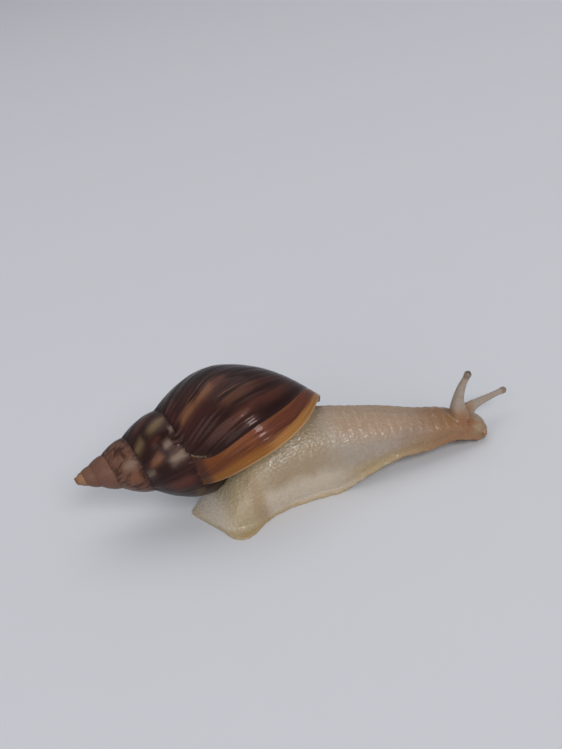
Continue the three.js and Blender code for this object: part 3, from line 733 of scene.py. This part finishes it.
# The groove above the foot's edge, the fold in front of the spread heel, faint rings round the neck
# and a double groove along its back.
flank = 1 - on_stalk
raised -= 0.08 * bump_at(above_sole, 2.0 + 0.3 * np.sin(x * 0.7), 0.5) * flank * slope(x, 0, 8)
folded = slope(z, 0.5, 3) * slope(z, 13, 8) * (y < middle)
raised -= (0.16 * bump_at(x, -3.4 - 0.12 * z, 1.8) + 0.10 * bump_at(x, 0.8 - 0.2 * z, 1.1)) * folded
raised += 0.05 * np.sin(x * 2.6 + 0.5 * np.sin(z * 0.9)) * slope(x, 14, 22) * flank
on_back = slope(facing[:, 2], 0.6, 0.9) * slope(x, 17, 20) * flank
raised -= 0.20 * (bump_at(y - middle, -0.55, 0.28) + bump_at(y - middle, 0.55, 0.28)) * on_back

# The mouth: a slit between the lips, a crease over them, and a fold behind each cheek.
front = slope(x, 54.6, 55.8) * (1 - slope(z, 5.5, 6.5))
raised -= 0.55 * bump_at(y, 0, 0.35) * front * (1 - slope(z, 3.1, 3.6))
raised -= 0.35 * bump_at(z, 3.75 - 0.06 * y * y, 0.35) * front * slope(x, 55.4, 56.2)
raised -= 0.30 * bump_at(x + 0.55 * z, 55.4, 0.55) * flank * (z < 7.5) * slope(np.abs(y), 1.5, 2.5)

spots = spots + facing * raised[:, None]
spots[:, 2] = np.maximum(spots[:, 2], 0)
skin_mesh.vertices.foreach_set("co", (spots * MM).astype(np.float32).ravel())
skin_mesh.attributes.new("pebble", "FLOAT", "POINT").data.foreach_set("value", pebble.astype(np.float32))
skin_mesh.update()
skin = bpy.data.objects.new("skin", skin_mesh)
bpy.context.scene.collection.objects.link(skin)

look = Finish(
    "wet_skin", Subsurface_Weight=0.45, Subsurface_Radius=(1.0, 0.55, 0.35), Subsurface_Scale=1.4 * MM,
    Coat_Weight=0.2, Coat_Roughness=0.2,
)
# The finish is laid out over the same three measures, in mm.
place = look.place()
x, y, z = (part * (1 / MM) for part in look.parts(place))
patchy = look.noise(place, 170.0, 4.0, 0.6)
mottle = look.noise(place, 620.0, 2.0)

CREAM_FLESH = (0.370, 0.292, 0.180, 1)
TRUNK_FLESH = (0.310, 0.232, 0.142, 1)
NECK_FLESH = (0.330, 0.268, 0.212, 1)
BACK_FLESH_AND_LIGHT = (0.360, 0.242, 0.158, 1)
PAINTED_LIGHT_FLESH = (0.535, 0.450, 0.355, 1)
FOLD_SHADE_FLESH = (0.310, 0.205, 0.110, 1)
EDGE_FLESH = (0.330, 0.225, 0.085, 1)
HEAD_FLESH = (0.256, 0.134, 0.060, 1)
BROW_FLESH = (0.240, 0.088, 0.030, 1)
STALK_FLESH = (0.330, 0.275, 0.225, 1)
NECK_SIDE_SHADE = (0.205, 0.142, 0.106, 1)
PIT_FLESH = (0.235, 0.140, 0.078, 1)
PALE_FLECK = (0.52, 0.47, 0.38, 1)
BULB_FLESH = (0.150, 0.105, 0.078, 1)
MANTLE_SHADE = (0.055, 0.036, 0.024, 1)

# From the tail forwards: a tail lightened with painted light, a cream heel and trunk, lightened near the
# sole with painted light, painted shade on the fold in front of the heel, a greyer neck with an amber foot
# edge, and the brown head with a redder back behind it, lightened on top with painted light as well.
wander = (patchy - 0.5) * 8.0
tone = look.blend((x + wander).step(-6.0, 4.0), CREAM_FLESH, TRUNK_FLESH)
# Painted light: the tail, which the shell shades and which leans away from the light, is lightened.
tone = look.blend((x + wander * 0.3).step(-9.0, -14.0) * 0.9, tone, PAINTED_LIGHT_FLESH)
# Painted light: the trunk low down, near the sole, is lightened as if lit from the front.
tone = look.blend((z + wander * 0.4).step(11.0, 6.0) * x.step(-6.0, 0.0) * 0.85, tone, PAINTED_LIGHT_FLESH)
on_neck = (x + wander).step(8.0, 22.0) * (1.0 - (z + x * 0.1).step(10.0, 6.5) * 0.6)
tone = look.blend(on_neck, tone, NECK_FLESH)
# Painted shade: a darker amber band down the fold in front of the heel, where the body bends.
tone = look.blend((x + z * 0.12).bell(-3.2, 3.2) * z.step(15.0, 10.0) * 0.65, tone, FOLD_SHADE_FLESH)
tone = look.blend((z + wander * 0.2).step(9.0, 4.2) * x.step(14.0, 26.0) * 0.75, tone, EDGE_FLESH)
tone = look.blend((z + wander * 0.1).step(1.9, 0.5) * x.step(28.0, 16.0) * 0.55, tone, EDGE_FLESH)
tone = look.blend((x + wander * 0.8).step(25.0, 47.0), tone, HEAD_FLESH)
# A redder back on top of the neck: partly its own tone, and partly painted light that lightens the top as
# if lit from above.
over = (z + x * 0.32 + wander * 0.3).step(18.0, 23.5) * x.step(13.0, 22.0) * x.step(46.0, 33.0)
tone = look.blend(over * 0.85, tone, BACK_FLESH_AND_LIGHT)
# Painted shade: the middle of the neck's side is darkened.
neck_side_shade = (x + wander * 0.5).bell(36.0, 7.0) * (z + x * 0.2 + wander * 0.2).bell(17.5, 3.2)
tone = look.blend(neck_side_shade * 0.45, tone, NECK_SIDE_SHADE)

# The head: a red-brown brow and cheeks, a pale pad over the mouth and clear grey tentacles.
brow = (x + z * 1.05).bell(58.8, 2.8) * z.step(5.0, 6.6) * z.step(9.5, 8.0)
cheek = (z - x * 0.25).bell(-7.3, 1.3) * x.step(42.0, 46.0) * x.step(53.0, 50.5)
tone = look.blend((brow * 0.75).at_least(cheek * 0.4), tone, BROW_FLESH)
tone = look.blend((x - z * 0.2).bell(53.4, 2.7) * z.bell(4.8, 2.6) * 0.75, tone, TRUNK_FLESH)
stalks = (z.step(9.0, 12.5) * x.step(46.5, 48.0)).at_least(x.step(52.5, 57.0) * z.step(5.2, 6.4))
tone = look.blend(stalks * 0.85, tone, STALK_FLESH)

# Darker pits between the pebbles, pale flecks, the darker bulb of each eye, and painted shade over the
# mantle's back.
pit = 1.0 - look.node("Attribute", {"attribute_name": "pebble"}, output="Fac")
tone = look.blend(pit.step(0.3, 1.0) * 0.14, tone, PIT_FLESH)
tone = look.blend(mottle.step(0.5, 0.75) * (0.20 - x.step(30.0, 48.0) * 0.16), tone, PALE_FLECK)
for side in ("right", "left"):
    off = [part - tip for part, tip in zip((x, y, z), TENTACLES[f"eye_{side}"][0][-1])]
    off_squared = off[0] * off[0] + off[1] * off[1] + off[2] * off[2]
    tone = look.blend(off_squared.step(3.2, 0.9) * 0.7, tone, BULB_FLESH)
# Painted shade: the mantle's back, in the shadow under the shell, is darkened.
tone = look.blend((z - x).step(22.5, 25.5) * x.step(-3.0, -6.0), tone, MANTLE_SHADE)

# Wet all over, most on the head and in patches on the tail, with grit too fine to model.
wet = 0.36 + patchy * 0.2 - mottle.step(0.52, 0.70) * 0.2 - x.step(40.0, 46.0) * 0.14
wet = wet - x.step(-7.0, -11.0) * patchy.step(0.42, 0.55) * 0.16
grit = look.node("TexVoronoi", {"feature": "SMOOTH_F1"}, {"Vector": place, "Scale": 2300.0})
rough = (1.0 - grit) + mottle * 0.5
bump = look.node("Bump", {}, {"Strength": 0.8, "Distance": 0.14 * MM, "Height": rough})
skin_mesh.materials.append(look.wear(tone, wet, bump))

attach(skin, "root")
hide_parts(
    "mantle_collar", "tail", "foot_rear", "trunk", "foot_middle", "neck_rear", "foot_front",
    "neck_front", "head", "snout", "eye_tentacle_right_root", "eye_tentacle_right_end",
    "eye_tentacle_left_root", "eye_tentacle_left_end", "lower_tentacle_right", "lower_tentacle_left",
)


# ---------------------------------------------------------------- the eyes
# Each long tentacle ends in a small bulb of clear flesh with a dark, glossy eye set in its tip: a
# little ball of pigment that looks out as a brown spot.

EYE_RADIUS = 0.74
PUPIL = (0.060, 0.038, 0.026, 1)
PUPIL_CLOUD = (0.130, 0.085, 0.058, 1)

look = Finish("eye", Roughness=0.15, Coat_Weight=0.6, Coat_Roughness=0.05)
cloud = look.noise(look.place(), 1800.0)
eye_finish = look.wear(look.blend(cloud.step(0.35, 0.7), PUPIL, PUPIL_CLOUD))
for side in ("right", "left"):
    tip = np.array(TENTACLES[f"eye_{side}"][0][-1])
    globe = tip + EYE_RADIUS * unit_ball(np.linspace(0, np.pi, 25), np.linspace(0, TURN, 49))
    globe_ids = np.arange(globe.size // 3).reshape(globe.shape[:2])
    eye = skin_over(f"eye_ball_{side}", globe.reshape(-1, 3), [quads(globe_ids)])
    eye.data.materials.append(eye_finish)
    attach(eye, "root")
    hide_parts(f"eye_{side}")


# ---------------------------------------------------------------- the floor and the light
# A plain pale floor that fades into a white surround, under a large soft window light from the
# viewer's side, with a wide room light beside it and a fill from above the far side.

FLOOR_SIZE = 6.0  # in metres, as are the lamps' sizes and AWAY
FLOOR_GREY = (0.68, 0.69, 0.72, 1)
FLOOR_GRAIN = (0.60, 0.61, 0.64, 1)
SURROUND, SURROUND_LEVEL = (0.90, 0.93, 1.0, 1), 0.32
AWAY, AIM_HEIGHT = 4.0, 0.015

bpy.ops.mesh.primitive_plane_add(size=FLOOR_SIZE, location=(0, 0, 0))
floor = bpy.context.object
floor.name = "floor"
look = Finish("pale_floor", Roughness=0.9, Specular_IOR_Level=0.1)
grain = look.noise(look.place(), 60.0) * 0.1
floor.data.materials.append(look.wear(look.blend(grain, FLOOR_GREY, FLOOR_GRAIN)))

world = bpy.data.worlds.new("surround")
bpy.context.scene.world = world
world.use_nodes = True
backdrop = world.node_tree.nodes["Background"]
backdrop.inputs["Color"].default_value = SURROUND
backdrop.inputs["Strength"].default_value = SURROUND_LEVEL


def soft_box(name, size, level, azimuth, height):
    """A square lamp AWAY metres off, at an azimuth from +X and a height above the floor, aimed at the
    snail. Its power, level times pi squared times AWAY squared, lights a white card that faces it to
    that level."""
    lamp = bpy.data.lights.new(name, "AREA")
    lamp.size, lamp.energy = size, level * (np.pi * AWAY) ** 2
    holder = bpy.data.objects.new(name, lamp)
    bpy.context.scene.collection.objects.link(holder)
    a, h = np.radians(azimuth), np.radians(height)
    toward = Vector((np.cos(a) * np.cos(h), np.sin(a) * np.cos(h), np.sin(h)))
    holder.location = Vector((0, 0, AIM_HEIGHT)) + toward * AWAY
    holder.rotation_euler = toward.to_track_quat("Z", "Y").to_euler()


soft_box("window", 1.2, 0.48, -80, 34)
soft_box("room", 3.0, 0.26, -122, 22)
soft_box("ceiling", 4.0, 0.24, 80, 75)

bpy.context.scene.view_settings.view_transform = "Standard"
